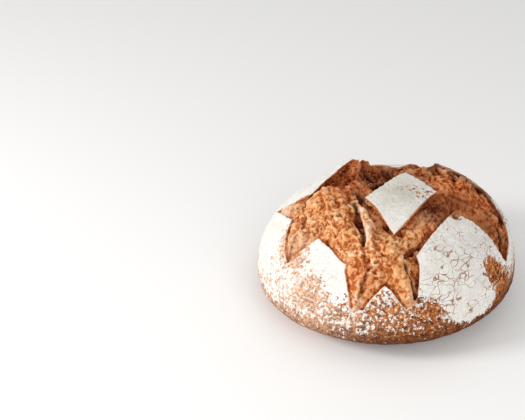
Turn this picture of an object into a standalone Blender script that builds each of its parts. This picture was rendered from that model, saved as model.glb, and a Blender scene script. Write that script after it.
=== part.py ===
"""A round sourdough loaf, scored with two pairs of crossing slashes and baked on its flat base.

The floured skin is a dome with four trenches cut through it, where the slashes opened in the oven.
The torn crumb that swelled up through them is a second, lower dome with ridges, cracks and crags.
Both are joined into one solid. Units are metres, +Z is up, and the origin is the middle of the base.
In plan +Y is called north, so the loaf's shown side faces south.
"""

import math

import bmesh
import bpy
import numpy as np
from mathutils import Vector, noise

# The smooth dome, before it is scored
MEAN_RADIUS = 0.114  # at the widest level
PLAN_STRETCH = 0.035  # share by which the plan is longer along its long axis, and shorter across it
LONG_AXIS = math.radians(45)  # from +X
WIDEST_LEVEL = 0.025  # height of the widest level above the base
CROWN_RISE = 0.073  # from the widest level to the crown
BELLY_DROP = 0.028  # how far the belly's curve would run down if the base weren't flat
FULLNESS = 2.25  # exponent of the dome's section: 2 is an ellipse, and more is squarer

# Unevenness of the skin
DENT_SIZE = 0.035
DENT_HEIGHT = 0.0010

# How far the torn crumb lies under the skin's surface, and how it swells up between the lips
CRUMB_SINK = 0.0065
SKIN_LEFT = 0.0010  # least skin over the crumb
SWELLING = 0.0050
SWELLING_REACH = 0.007
STEEPEST_SWELLING = 0.8
LIFT_SHARE = 0.55  # of the skin's lift that the crumb beside it follows
CORE_BASE = 0.006  # level of the crumb body's flat underside, inside the skin

# The trenches
TRENCH_RISE = 0.020
TRENCH_DEPTH = 0.016
FULL_LEAN_WIDTH = 0.020
STATIONS = 26

# Fineness of the two domes: cuts along each side of the cube that they start from
SKIN_CUTS = 21
CRUMB_CUTS = 40

# Edges that bend more than this are lips and cracks, and are shaded sharp
LIP_ANGLE = math.radians(40)

# Crags of the torn crumb
CRAG_SIZE = 0.012
CRAG_HEIGHT = 0.0030

# The floured square between the slashes: its corners in plan
TILE_BACK = (0.012, 0.026)
TILE_RIGHT = (0.040, 0.002)
TILE_FRONT = (0.006, -0.058)
TILE_LEFT = (-0.021, -0.016)
TILE_LIFT = 0.0070  # of its back corner above the dome
TILE_EDGE_FADE = 0.009

# Each slash has an inner lip, on the side of the square, and an outer one, as points in plan.
# The undercuts are how far each wall leans away under its lip, as a share of the trench's depth.
WEST_CORNER = (-0.057, -0.057)
SOUTH_WEST_CORNER = (-0.0316, -0.0842)
SOUTH_EAST_CORNER = (0.0248, -0.0736)
EAST_CORNER = (0.056, -0.0134)
SOUTH_WEDGE_TIP = (0.001, -0.098)
NORTH_WEDGE_TIP = (0.008, 0.050)
NORTH_WEST_EAR_TIP = (-0.031, 0.040)
NORTH_EAST_EAR_TIP = (0.036, 0.047)
SLASHES = {
    "slash_south_east": {
        "inner": [(0.056, 0.016), TILE_RIGHT, TILE_FRONT, (-0.013, -0.074), SOUTH_WEST_CORNER,
                  (-0.030, -0.0965), (-0.0262, -0.1082)],
        "outer": [(0.072, 0.006), EAST_CORNER, SOUTH_EAST_CORNER, (0.012, -0.088), SOUTH_WEDGE_TIP,
                  (-0.0125, -0.1075), (-0.0155, -0.1098)],
        "undercut": (0.25, 0.1),
    },
    "slash_south_west": {
        "inner": [(-0.0985, 0.0105), (-0.084, -0.001), (-0.068, -0.003), TILE_LEFT, TILE_FRONT,
                  SOUTH_EAST_CORNER, (0.0283, -0.0836), (0.0280, -0.0960), (0.0255, -0.1025)],
        "outer": [(-0.0975, 0.0040), (-0.0883, -0.0150), (-0.0810, -0.0260), WEST_CORNER,
                  (-0.0455, -0.0699), SOUTH_WEST_CORNER, SOUTH_WEDGE_TIP, (0.0150, -0.1050),
                  (0.0195, -0.1062)],
        "undercut": (0.3, 0.2),
    },
    "slash_north_west": {
        "inner": [(0.036, 0.086), (0.041, 0.064), NORTH_EAST_EAR_TIP, TILE_BACK, TILE_LEFT,
                  (-0.042, -0.043), WEST_CORNER, (-0.067, -0.0625), (-0.0775, -0.0670)],
        "outer": [(0.030, 0.088), (0.020, 0.066), NORTH_WEDGE_TIP, (-0.010, 0.048), NORTH_WEST_EAR_TIP,
                  (-0.050, 0.019), (-0.067, -0.006), (-0.0810, -0.0260), (-0.0850, -0.0430),
                  (-0.0850, -0.0560), (-0.0822, -0.0675)],
        "undercut": (0.2, 0.75),
    },
    "slash_north_east": {
        "inner": [(-0.040, 0.086), (-0.036, 0.066), NORTH_WEST_EAR_TIP, TILE_BACK, TILE_RIGHT, EAST_CORNER,
                  (0.075, -0.0180), (0.0893, -0.0245), (0.0993, -0.0300)],
        "outer": [(-0.034, 0.088), (-0.014, 0.070), NORTH_WEDGE_TIP, (0.022, 0.046), NORTH_EAST_EAR_TIP,
                  (0.062, 0.037), (0.083, 0.027), (0.100, 0.008), (0.1045, -0.0120), (0.1030, -0.0280)],
        "undercut": (0.2, 0.35),
    },
}

# Where the skin was lifted into an ear: its edge in plan, each point with the lift there
EARS = {
    "north_west": [(-0.031, 0.040, 0.0140), (-0.050, 0.019, 0.0080), (-0.067, -0.009, 0.0045),
                   (-0.082, -0.034, 0.0010)],
    "north_east": [(0.036, 0.047, 0.0120), (0.062, 0.037, 0.0095), (0.083, 0.027, 0.0065),
                   (0.100, 0.008, 0.0030)],
}
EAR_REACH = 0.022  # how far back from its edge the skin is lifted
LIFT_FADE = 0.08  # outermost share of the plan, over which any lift goes down to nothing

# Relief of the torn crumb: points in plan, the height at the line, and how fast it falls off
# to the left and to the right of the line's direction
RELIEF = {
    "channel_under_ear": ([(-0.030, 0.031), (-0.046, 0.011), (-0.066, -0.012)], -0.0090, 0.0075, 0.0060),
    "slab_body": ([(-0.052, -0.012), (-0.040, -0.040), (-0.024, -0.072)], 0.0085, 0.0170, 0.0170),
    "slab_west_rim": ([(-0.036, 0.018), (-0.050, -0.001), (-0.068, -0.021)], 0.0045, 0.0100, 0.0020),
    "slab_east_rim": ([(-0.028, -0.012), (-0.019, -0.038), (-0.016, -0.064)], 0.0040, 0.0045, 0.0090),
    "gap_by_square": ([(-0.026, -0.008), (-0.017, -0.030), (-0.009, -0.044)], -0.0055, 0.0050, 0.0045),
    "slab_crack": ([(-0.034, -0.026), (-0.025, -0.052), (-0.020, -0.072)], -0.0035, 0.0042, 0.0042),
    "front_rise": ([(0.004, -0.068), (-0.004, -0.084), (-0.022, -0.096)], 0.0040, 0.0120, 0.0120),
    "front_right_rise": ([(0.008, -0.078), (0.016, -0.092), (0.020, -0.102)], 0.0040, 0.0090, 0.0080),
    "square_spur": ([(0.006, -0.056), (0.005, -0.074)], 0.0030, 0.0045, 0.0045),
    "east_crack": ([(0.037, -0.046), (0.028, -0.061), (0.018, -0.071)], -0.0030, 0.0045, 0.0045),
    "foot_crack": ([(0.019, -0.078), (0.024, -0.088), (0.0275, -0.101)], -0.0030, 0.0045, 0.0042),
    "hollow_behind_square": ([(-0.022, 0.026), (-0.002, 0.038), (0.022, 0.040)], -0.0070, 0.0080, 0.0080),
    "west_rise": ([(-0.056, -0.024), (-0.070, -0.050)], 0.0030, 0.0170, 0.0170),
    "north_east_slope": ([(0.050, 0.024), (0.074, 0.010), (0.094, -0.006)], 0.0040, 0.0120, 0.0120),
}
FILL_SPOTS = [  # where the crumb swelled right up to its lip: place in plan, radius, rise
    ((-0.085, -0.030), 0.013, 0.0040),
    ((-0.086, -0.052), 0.013, 0.0045),
    ((-0.021, -0.106), 0.009, 0.0040),
    ((0.024, -0.101), 0.009, 0.0040),
    ((0.038, 0.044), 0.010, 0.0080),
    ((0.050, 0.041), 0.010, 0.0050),
    ((0.064, 0.035), 0.011, 0.0060),
    ((0.080, 0.028), 0.010, 0.0050),
    ((0.094, 0.014), 0.010, 0.0040),
    ((-0.030, 0.039), 0.007, 0.0060),
    ((0.010, 0.048), 0.010, 0.0040),
    ((-0.010, 0.044), 0.008, 0.0030),
]


def plan_radius(angle):
    """Radius of the dome's widest level in this direction."""
    return MEAN_RADIUS * (1 + PLAN_STRETCH * np.cos(2 * (angle - LONG_AXIS)))


def way_out(places):
    """How far out places in plan lie: 0 at the middle, and 1 on the widest level's edge."""
    angle = np.arctan2(places[:, 1], places[:, 0])
    return np.minimum(np.hypot(places[:, 0], places[:, 1]) / plan_radius(angle), 0.9999)


def dome_height(places):
    """Height of the smooth dome over places in plan."""
    return WIDEST_LEVEL + CROWN_RISE * (1 - way_out(places) ** FULLNESS) ** (1 / FULLNESS)


def dome_points(directions):
    """Points of the smooth dome for unit vectors, and the dome's outward normals there."""
    level = np.hypot(directions[:, 0], directions[:, 1])
    angle = np.arctan2(directions[:, 1], directions[:, 0])
    size = (level**FULLNESS + np.abs(directions[:, 2]) ** FULLNESS) ** (-1 / FULLNESS)
    radius = plan_radius(angle)
    rise = np.where(directions[:, 2] > 0, CROWN_RISE, BELLY_DROP)
    out = level * size * radius
    points = np.stack(
        [out * np.cos(angle), out * np.sin(angle), WIDEST_LEVEL + rise * directions[:, 2] * size], axis=1
    )
    return points, dome_normals(points)


def dome_normals(points):
    """Outward normals of the smooth dome at its own points."""
    angle = np.arctan2(points[:, 1], points[:, 0])
    radius = plan_radius(angle)
    above = points[:, 2] - WIDEST_LEVEL
    rise = np.where(above > 0, CROWN_RISE, BELLY_DROP)
    out = (np.hypot(points[:, 0], points[:, 1]) / radius) ** (FULLNESS - 1) / radius
    up = np.sign(above) * (np.abs(above) / rise) ** (FULLNESS - 1) / rise
    normals = np.stack([out * np.cos(angle), out * np.sin(angle), up], axis=1)
    return normals / np.linalg.norm(normals, axis=1)[:, None]


def smooth_line(points, count):
    """A curve through the points, as evenly spaced places along it, with any further columns."""
    points = np.array(points, float)
    padded = np.vstack([2 * points[0] - points[1], points, 2 * points[-1] - points[-2]])
    fine = []
    for before, start, end, after in zip(padded, padded[1:], padded[2:], padded[3:]):
        for t in np.linspace(0, 1, 16, endpoint=False):
            fine.append(0.5 * (2 * start + (end - before) * t
                               + (2 * before - 5 * start + 4 * end - after) * t**2
                               + (3 * start - before - 3 * end + after) * t**3))
    fine = np.array([*fine, points[-1]])
    walked = np.concatenate([[0], np.cumsum(np.hypot(*np.diff(fine[:, :2], axis=0).T))])
    wanted = np.linspace(0, walked[-1], count)
    return np.stack([np.interp(wanted, walked, column) for column in fine.T], axis=1)


def beside_line(places, line):
    """For points in plan: distance to the line, the side they lie on (left is positive), and the
    line's own columns at the nearest place."""
    best = np.full(len(places), np.inf)
    side = np.zeros(len(places))
    carried = np.zeros((len(places), line.shape[1]))
    for start, end in zip(line[:-1], line[1:]):
        run = end[:2] - start[:2]
        share = np.clip((places - start[:2]) @ run / max(run @ run, 1e-12), 0, 1)
        nearest = start[:2] + share[:, None] * run
        away = places - nearest
        gap = np.hypot(away[:, 0], away[:, 1])
        closer = gap < best
        best = np.where(closer, gap, best)
        side = np.where(closer, np.sign(run[0] * away[:, 1] - run[1] * away[:, 0]), side)
        carried = np.where(closer[:, None], start + share[:, None] * (end - start), carried)
    return best, side, carried


def inside_outline(places, outline):
    """Whether each place lies inside a closed outline."""
    inside = np.zeros(len(places), bool)
    for (ax, ay), (bx, by) in zip(outline, outline[1:] + outline[:1]):
        crosses = (places[:, 1] < ay) != (places[:, 1] < by)
        level = np.where(crosses, (places[:, 1] - ay) / (by - ay or 1), 0)
        inside ^= crosses & (places[:, 0] < ax + level * (bx - ax))
    return inside


def inside_share(places, corners, fade):
    """1 inside a convex outline with its corners clockwise, falling to 0 over the fade outside it."""
    share = np.ones(len(places))
    for start, end in zip(corners, corners[1:] + corners[:1]):
        run = np.array(end) - np.array(start)
        away = places - start
        outside = (run[0] * away[:, 1] - run[1] * away[:, 0]) / np.hypot(*run)
        share = np.minimum(share, 1 - np.clip(outside / fade, 0, 1))
    return share * share * (3 - 2 * share)


def skin_lift(places):
    """How far the skin stands above the smooth dome: the tilted square and the two ears."""
    tile = [TILE_BACK, TILE_RIGHT, TILE_FRONT, TILE_LEFT]
    tilt = np.clip((places[:, 1] - TILE_FRONT[1]) / (TILE_BACK[1] - TILE_FRONT[1]), 0, 1)
    lift = TILE_LIFT * tilt * inside_share(places, tile, TILE_EDGE_FADE)
    for edge in EARS.values():
        gap, _, carried = beside_line(places, smooth_line(edge, STATIONS))
        lift = np.maximum(lift, carried[:, 2] * np.exp(-((gap / EAR_REACH) ** 2)))
    return lift * np.clip((1 - way_out(places)) / LIFT_FADE, 0, 1)


def crumb_relief(places):
    """Height of the torn crumb above its own sunk dome: slabs, rims, channels and cracks."""
    height = np.zeros(len(places))
    for points, size, left, right in RELIEF.values():
        line = smooth_line(points, STATIONS)
        gap, side, _ = beside_line(places, line)
        width = np.where(side > 0, left, right)
        height += size * np.exp(-((gap / width) ** 2))
    for place, radius, rise in FILL_SPOTS:
        height += rise * np.exp(-((np.linalg.norm(places - place, axis=1) / radius) ** 2))
    return height


def crags(points):
    """Rough torn relief, from 0 to about 1, the same on every run."""
    return np.array([noise.turbulence(Vector(p / CRAG_SIZE), 3, True) for p in points]) - 0.5


def round_ball(cuts):
    """Unit directions spread evenly over a ball, as a mesh: a cube, cut up and blown round."""
    mesh = bmesh.new()
    bmesh.ops.create_cube(mesh, size=2)
    bmesh.ops.subdivide_edges(mesh, edges=mesh.edges[:], cuts=cuts, use_grid_fill=True)
    for vertex in mesh.verts:
        # Evens out the squares, which a plain push onto the ball would leave small near the corners
        vertex.co = Vector([math.tan(c * math.pi / 4) for c in vertex.co]).normalized()
    return mesh


def dome_object(name, cuts, offset, base_level):
    """A closed dome whose points stand off the smooth one by offset(), cut flat at base_level."""
    ball = round_ball(cuts)
    points, normals = dome_points(np.array([v.co for v in ball.verts]))
    points = points + normals * offset(points)[:, None]
    for vertex, point in zip(ball.verts, points):
        vertex.co = point
    cut = bmesh.ops.bisect_plane(
        ball, geom=ball.verts[:] + ball.edges[:] + ball.faces[:], dist=1e-6,
        plane_co=(0, 0, base_level), plane_no=(0, 0, -1), clear_outer=True,
    )
    rim = [e for e in cut["geom_cut"] if isinstance(e, bmesh.types.BMEdge)]
    bmesh.ops.contextual_create(ball, geom=rim)
    bmesh.ops.triangulate(ball, faces=ball.faces[:])
    bmesh.ops.recalc_face_normals(ball, faces=ball.faces[:])
    mesh = bpy.data.meshes.new(name)
    ball.to_mesh(mesh)
    ball.free()
    mesh.shade_smooth()
    mesh.set_sharp_from_angle(angle=LIP_ANGLE)
    return bpy.data.objects.new(name, mesh)


def skin_offset(points):
    """The floured skin stands off the smooth dome where it was lifted, and is a little uneven."""
    dents = np.array([noise.noise(Vector(p / DENT_SIZE)) for p in points])
    upper = np.clip(points[:, 2] / WIDEST_LEVEL, 0, 1)
    lift = np.where(points[:, 2] > WIDEST_LEVEL, skin_lift(points[:, :2]), 0)
    return lift + DENT_HEIGHT * dents * upper


def depth_inside_slashes(places):
    """Distance from the nearest lip for places between the two lips of a slash, and 0 under the skin."""
    deepest = np.zeros(len(places))
    for slash in SLASHES.values():
        inner, outer = [smooth_line(slash[lip], STATIONS) for lip in ("inner", "outer")]
        depth = np.minimum(beside_line(places, inner)[0], beside_line(places, outer)[0])
        inside = inside_outline(places, [*inner, *outer[::-1]])
        deepest = np.maximum(deepest, np.where(inside, depth, 0))
    return deepest


def crumb_offset(points):
    """The crumb lies under the skin, and swells up with relief and crags between the lips."""
    places = points[:, :2]
    upper = np.clip((points[:, 2] - WIDEST_LEVEL) / 0.015, 0, 1)
    lift = skin_lift(places)
    depth = depth_inside_slashes(places)
    swelling = SWELLING * (1 - np.exp(-depth / SWELLING_REACH))
    relief = LIFT_SHARE * lift + swelling + crumb_relief(places) + CRAG_HEIGHT * crags(points)
    room = CRUMB_SINK + lift - SKIN_LEFT + STEEPEST_SWELLING * depth
    return -CRUMB_SINK + upper * np.minimum(relief, room)


def lip_on_skin(places):
    """Points of the skin over places in plan, and the smooth dome's normals there."""
    points = np.column_stack([places, dome_height(places)])
    normals = dome_normals(points)
    return points + normals * skin_lift(places)[:, None], normals


def trench(name, slash):
    """A slash as it opened: a body that follows both lips, from above the skin to under the crumb.

    Its walls go straight up from the lips, and below them lean away under the skin.
    """
    inner, outer = [lip_on_skin(smooth_line(slash[lip], STATIONS)) for lip in ("inner", "outer")]
    across = outer[0] - inner[0]
    width = np.linalg.norm(across, axis=1)[:, None]
    sections = []
    for (points, normals), lean, way in zip((inner, outer), slash["undercut"], (-1, 1)):
        # A narrow stretch leans less, so that the two walls stay clear of each other
        under = lean * TRENCH_DEPTH * np.minimum(width / FULL_LEAN_WIDTH, 1)
        low = points - normals * TRENCH_DEPTH + way * under * across / width
        sections.append((points + normals * TRENCH_RISE, points, low))
    (inner_top, inner_lip, inner_low), (outer_top, outer_lip, outer_low) = sections
    mesh = bmesh.new()
    rings = [
        [mesh.verts.new(p) for p in ring]
        for ring in zip(inner_top, outer_top, outer_lip, outer_low, inner_low, inner_lip)
    ]
    for ring, following in zip(rings, rings[1:]):
        for side, point in enumerate(ring):
            after = (side + 1) % len(ring)
            mesh.faces.new([point, ring[after], following[after], following[side]])
    mesh.faces.new(rings[0][::-1])
    mesh.faces.new(rings[-1])
    bmesh.ops.triangulate(mesh, faces=mesh.faces[:])
    bmesh.ops.recalc_face_normals(mesh, faces=mesh.faces[:])
    data = bpy.data.meshes.new(name)
    mesh.to_mesh(data)
    mesh.free()
    return bpy.data.objects.new(name, data)


def crust_material():
    """Dry, matt bread crust under a dusting of flour."""
    material = bpy.data.materials.new("crust")
    material.use_nodes = True
    shader = material.node_tree.nodes["Principled BSDF"]
    shader.inputs["Base Color"].default_value = (0.55, 0.36, 0.22, 1)
    shader.inputs["Roughness"].default_value = 0.85
    shader.inputs["Metallic"].default_value = 0
    return material


def add_boolean(target, operation, other):
    modifier = target.modifiers.new(other.name, "BOOLEAN")
    modifier.operation = operation
    modifier.solver = "EXACT"
    modifier.object = other


def main():
    for obj in list(bpy.data.objects):
        bpy.data.objects.remove(obj)
    parts = bpy.data.collections.new("sourdough_loaf")
    helpers = bpy.data.collections.new("cutters")
    for collection in (parts, helpers):
        bpy.context.scene.collection.children.link(collection)

    loaf = dome_object("loaf", SKIN_CUTS, skin_offset, 0)
    loaf.data.materials.append(crust_material())
    parts.objects.link(loaf)

    for name, slash in SLASHES.items():
        cutter = trench(name, slash)
        cutter.hide_render = True
        cutter.display_type = "WIRE"
        helpers.objects.link(cutter)
        add_boolean(loaf, "DIFFERENCE", cutter)

    crumb = dome_object("torn_crumb", CRUMB_CUTS, crumb_offset, CORE_BASE)
    crumb.hide_render = True
    crumb.display_type = "WIRE"
    helpers.objects.link(crumb)
    add_boolean(loaf, "UNION", crumb)


main()
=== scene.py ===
"""A round sourdough loaf: floured wheat crust, scored and torn open in the oven over a rough crumb."""

import math

import bmesh
import bpy
import numpy as np
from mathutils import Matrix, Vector, kdtree, noise
from mathutils.bvhtree import BVHTree


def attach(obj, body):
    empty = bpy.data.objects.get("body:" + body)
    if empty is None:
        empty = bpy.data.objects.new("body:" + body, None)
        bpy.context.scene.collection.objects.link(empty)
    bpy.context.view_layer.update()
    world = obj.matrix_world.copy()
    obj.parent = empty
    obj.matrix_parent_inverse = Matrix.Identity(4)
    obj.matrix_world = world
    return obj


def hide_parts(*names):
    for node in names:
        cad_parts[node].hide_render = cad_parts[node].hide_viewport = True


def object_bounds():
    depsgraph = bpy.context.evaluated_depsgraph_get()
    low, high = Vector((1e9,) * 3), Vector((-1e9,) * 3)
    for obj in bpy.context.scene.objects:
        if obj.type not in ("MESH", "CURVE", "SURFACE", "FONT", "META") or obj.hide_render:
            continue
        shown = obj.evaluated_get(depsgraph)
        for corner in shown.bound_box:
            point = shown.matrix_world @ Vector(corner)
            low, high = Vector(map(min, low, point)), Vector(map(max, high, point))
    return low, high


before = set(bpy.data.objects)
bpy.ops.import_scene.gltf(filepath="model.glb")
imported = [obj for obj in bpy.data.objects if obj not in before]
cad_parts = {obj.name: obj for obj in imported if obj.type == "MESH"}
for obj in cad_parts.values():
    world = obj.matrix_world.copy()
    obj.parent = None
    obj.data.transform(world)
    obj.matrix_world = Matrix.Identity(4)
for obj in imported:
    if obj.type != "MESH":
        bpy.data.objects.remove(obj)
cad_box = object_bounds()
for obj in bpy.context.selected_objects:
    obj.select_set(False)


# The body of the loaf under its floured skin.
# Wheat dough, shaped round, turned out of a floured basket and baked on its flat underside.
# It starts as a cube cut up and blown round, and is then pushed onto the loaf's own dome.
MEAN_RADIUS = 0.114
PLAN_STRETCH = 0.035
LONG_AXIS = math.radians(45)
WIDEST_LEVEL = 0.025
CROWN_RISE = 0.073
BELLY_DROP = 0.028
FULLNESS = 2.25
OUTERMOST = 0.9999
DENT_SIZE = 0.035
DENT_HEIGHT = 0.0010
TILE_BACK = (0.012, 0.026)
TILE_RIGHT = (0.040, 0.002)
TILE_FRONT = (0.006, -0.058)
TILE_LEFT = (-0.021, -0.016)
TILE_LIFT = 0.0070
TILE_EDGE_FADE = 0.009
EARS = {  # along the edge of each curled ear: place in plan, and how far it lifts
    "north_west": [(-0.031, 0.040, 0.0140), (-0.050, 0.019, 0.0080), (-0.067, -0.009, 0.0045),
                   (-0.082, -0.034, 0.0010)],
    "north_east": [(0.036, 0.047, 0.0120), (0.062, 0.037, 0.0095), (0.083, 0.027, 0.0065),
                   (0.100, 0.008, 0.0030)],
}
EAR_REACH = 0.022
LIFT_FADE = 0.08


def plan_radius(angle):
    return MEAN_RADIUS * (1 + PLAN_STRETCH * np.cos(2 * (angle - LONG_AXIS)))


def way_out(places):
    """0 at the middle of the plan, and 1 on the edge of the widest level."""
    angle = np.arctan2(places[:, 1], places[:, 0])
    return np.minimum(np.hypot(places[:, 0], places[:, 1]) / plan_radius(angle), OUTERMOST)


def dome_height(places):
    return WIDEST_LEVEL + CROWN_RISE * (1 - way_out(places) ** FULLNESS) ** (1 / FULLNESS)


def dome_normals(points):
    angle = np.arctan2(points[:, 1], points[:, 0])
    radius = plan_radius(angle)
    above = points[:, 2] - WIDEST_LEVEL
    rise = np.where(above > 0, CROWN_RISE, BELLY_DROP)
    out = (np.hypot(points[:, 0], points[:, 1]) / radius) ** (FULLNESS - 1) / radius
    up = np.sign(above) * (np.abs(above) / rise) ** (FULLNESS - 1) / rise
    normals = np.stack([out * np.cos(angle), out * np.sin(angle), up], axis=1)
    return normals / np.linalg.norm(normals, axis=1)[:, None]


def smooth_line(points, count=40):
    """A curve through the points, as evenly spaced places along it, with any further columns."""
    points = np.array(points, float)
    padded = np.vstack([2 * points[0] - points[1], points, 2 * points[-1] - points[-2]])
    fine = []
    for before, start, end, after in zip(padded, padded[1:], padded[2:], padded[3:]):
        for t in np.linspace(0, 1, 16, endpoint=False):
            fine.append(0.5 * (2 * start + (end - before) * t
                               + (2 * before - 5 * start + 4 * end - after) * t**2
                               + (3 * start - before - 3 * end + after) * t**3))
    fine = np.array([*fine, points[-1]])
    walked = np.concatenate([[0], np.cumsum(np.hypot(*np.diff(fine[:, :2], axis=0).T))])
    wanted = np.linspace(0, walked[-1], count)
    return np.stack([np.interp(wanted, walked, column) for column in fine.T], axis=1)


def beside_line(places, line):
    """Distance to a line in plan, its side (1 on the left), and its columns at the nearest place."""
    best = np.full(len(places), np.inf)
    side = np.zeros(len(places))
    carried = np.zeros((len(places), line.shape[1]))
    for start, end in zip(line[:-1], line[1:]):
        run = end[:2] - start[:2]
        share = np.clip((places - start[:2]) @ run / max(run @ run, 1e-12), 0, 1)
        away = places - start[:2] - share[:, None] * run
        gap = np.hypot(away[:, 0], away[:, 1])
        closer = gap < best
        best[closer] = gap[closer]
        side[closer] = np.sign(run[0] * away[closer, 1] - run[1] * away[closer, 0])
        carried[closer] = start + share[closer, None] * (end - start)
    return best, side, carried


def inside_share(places, corners, fade):
    """1 inside a convex outline with its corners clockwise, falling to 0 over the fade outside it."""
    share = np.ones(len(places))
    for start, end in zip(corners, corners[1:] + corners[:1]):
        run = np.array(end) - np.array(start)
        away = places - start
        outside = (run[0] * away[:, 1] - run[1] * away[:, 0]) / np.hypot(*run)
        share = np.minimum(share, 1 - np.clip(outside / fade, 0, 1))
    return share * share * (3 - 2 * share)


def skin_lift(places):
    """How far the skin stands above the dome: the tilted square, and the ears that curled up."""
    tile = [TILE_BACK, TILE_RIGHT, TILE_FRONT, TILE_LEFT]
    tilt = np.clip((places[:, 1] - TILE_FRONT[1]) / (TILE_BACK[1] - TILE_FRONT[1]), 0, 1)
    lift = TILE_LIFT * tilt * inside_share(places, tile, TILE_EDGE_FADE)
    for edge in EARS.values():
        gap, _, carried = beside_line(places, smooth_line(edge))
        lift = np.maximum(lift, carried[:, 2] * np.exp(-((gap / EAR_REACH) ** 2)))
    return lift * np.clip((1 - way_out(places)) / LIFT_FADE, 0, 1)


def noise_at(points, size, seed=0.0):
    """Smooth noise from -1 to 1 with lumps of about this size."""
    start = Vector((seed, -seed, 2 * seed))
    return np.array([noise.noise(Vector(p) + start) for p in (points / size)])


def get_points(obj):
    points = np.empty(len(obj.data.vertices) * 3)
    obj.data.vertices.foreach_get("co", points)
    return points.reshape(-1, 3)


def set_points(obj, points):
    obj.data.vertices.foreach_set("co", points.ravel())
    obj.data.update()


def blown_cube(name, cuts, offset, base_level):
    """A cube cut up and made round, then pushed onto the dome plus offset(), and cut flat below."""
    bpy.ops.mesh.primitive_cube_add(size=2)
    obj = bpy.context.active_object
    obj.name = name
    bpy.ops.object.mode_set(mode="EDIT")
    for count in cuts:
        bpy.ops.mesh.subdivide(number_cuts=count)
    bpy.ops.object.mode_set(mode="OBJECT")
    # Evens out the squares, which a plain push onto the ball would leave small near the corners
    ways = np.tan(get_points(obj) * math.pi / 4)
    ways /= np.linalg.norm(ways, axis=1)[:, None]
    level = np.hypot(ways[:, 0], ways[:, 1])
    angle = np.arctan2(ways[:, 1], ways[:, 0])
    size = (level**FULLNESS + np.abs(ways[:, 2]) ** FULLNESS) ** (-1 / FULLNESS)
    out = level * size * plan_radius(angle)
    rise = np.where(ways[:, 2] > 0, CROWN_RISE, BELLY_DROP)
    height = WIDEST_LEVEL + rise * ways[:, 2] * size
    points = np.stack([out * np.cos(angle), out * np.sin(angle), height], axis=1)
    set_points(obj, points + dome_normals(points) * offset(points)[:, None])
    bpy.ops.object.mode_set(mode="EDIT")
    bpy.ops.mesh.select_all(action="SELECT")
    bpy.ops.mesh.bisect(plane_co=(0, 0, base_level), plane_no=(0, 0, 1), use_fill=True, clear_inner=True)
    bpy.ops.mesh.select_all(action="SELECT")
    bpy.ops.mesh.quads_convert_to_tris()
    bpy.ops.mesh.normals_make_consistent(inside=False)
    bpy.ops.object.mode_set(mode="OBJECT")
    return obj


def skin_offset(points):
    """The skin stands off the dome where it was lifted, and is a little uneven."""
    lift = np.where(points[:, 2] > WIDEST_LEVEL, skin_lift(points[:, :2]), 0)
    upper = np.clip(points[:, 2] / WIDEST_LEVEL, 0, 1)
    return lift + DENT_HEIGHT * noise_at(points, DENT_SIZE) * upper


loaf = blown_cube("sourdough_loaf", (40, 1), skin_offset, 0)


# The four slashes, two each way, that the baker cut before baking.
# Each opened wide, so the skin ends in two lips with a torn trench between them.
# A trench is lofted along its two lips and cut away from the body.
TRENCH_RISE = 0.020
TRENCH_DEPTH = 0.016
FULL_LEAN_WIDTH = 0.020
WEST_CORNER = (-0.057, -0.057)
SOUTH_WEST_CORNER = (-0.0316, -0.0842)
SOUTH_EAST_CORNER = (0.0248, -0.0736)
EAST_CORNER = (0.056, -0.0134)
SOUTH_WEDGE_TIP = (0.001, -0.098)
NORTH_WEDGE_TIP = (0.008, 0.050)
NORTH_WEST_EAR_TIP = (-0.031, 0.040)
NORTH_EAST_EAR_TIP = (0.036, 0.047)
SLASHES = {  # two lips in plan, and how far the trench leans under each, as a share of its depth
    "slash_south_east": {
        "inner": [(0.056, 0.016), TILE_RIGHT, TILE_FRONT, (-0.013, -0.074), SOUTH_WEST_CORNER,
                  (-0.030, -0.0965), (-0.0262, -0.1082)],
        "outer": [(0.072, 0.006), EAST_CORNER, SOUTH_EAST_CORNER, (0.012, -0.088), SOUTH_WEDGE_TIP,
                  (-0.0125, -0.1075), (-0.0155, -0.1098)],
        "undercut": (0.25, 0.1),
    },
    "slash_south_west": {
        "inner": [(-0.0985, 0.0105), (-0.084, -0.001), (-0.068, -0.003), TILE_LEFT, TILE_FRONT,
                  SOUTH_EAST_CORNER, (0.0283, -0.0836), (0.0280, -0.0960), (0.0255, -0.1025)],
        "outer": [(-0.0975, 0.0040), (-0.0883, -0.0150), (-0.0810, -0.0260), WEST_CORNER,
                  (-0.0455, -0.0699), SOUTH_WEST_CORNER, SOUTH_WEDGE_TIP, (0.0150, -0.1050),
                  (0.0195, -0.1062)],
        "undercut": (0.3, 0.2),
    },
    "slash_north_west": {
        "inner": [(0.036, 0.086), (0.041, 0.064), NORTH_EAST_EAR_TIP, TILE_BACK, TILE_LEFT,
                  (-0.042, -0.043), WEST_CORNER, (-0.067, -0.0625), (-0.0775, -0.0670)],
        "outer": [(0.030, 0.088), (0.020, 0.066), NORTH_WEDGE_TIP, (-0.010, 0.048), NORTH_WEST_EAR_TIP,
                  (-0.050, 0.019), (-0.067, -0.006), (-0.0810, -0.0260), (-0.0850, -0.0430),
                  (-0.0850, -0.0560), (-0.0822, -0.0675)],
        "undercut": (0.2, 0.75),
    },
    "slash_north_east": {
        "inner": [(-0.040, 0.086), (-0.036, 0.066), NORTH_WEST_EAR_TIP, TILE_BACK, TILE_RIGHT,
                  EAST_CORNER, (0.075, -0.0180), (0.0893, -0.0245), (0.0993, -0.0300)],
        "outer": [(-0.034, 0.088), (-0.014, 0.070), NORTH_WEDGE_TIP, (0.022, 0.046), NORTH_EAST_EAR_TIP,
                  (0.062, 0.037), (0.083, 0.027), (0.100, 0.008), (0.1045, -0.0120), (0.1030, -0.0280)],
        "undercut": (0.2, 0.35),
    },
}
SKIN, TORN = 0, 1
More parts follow.
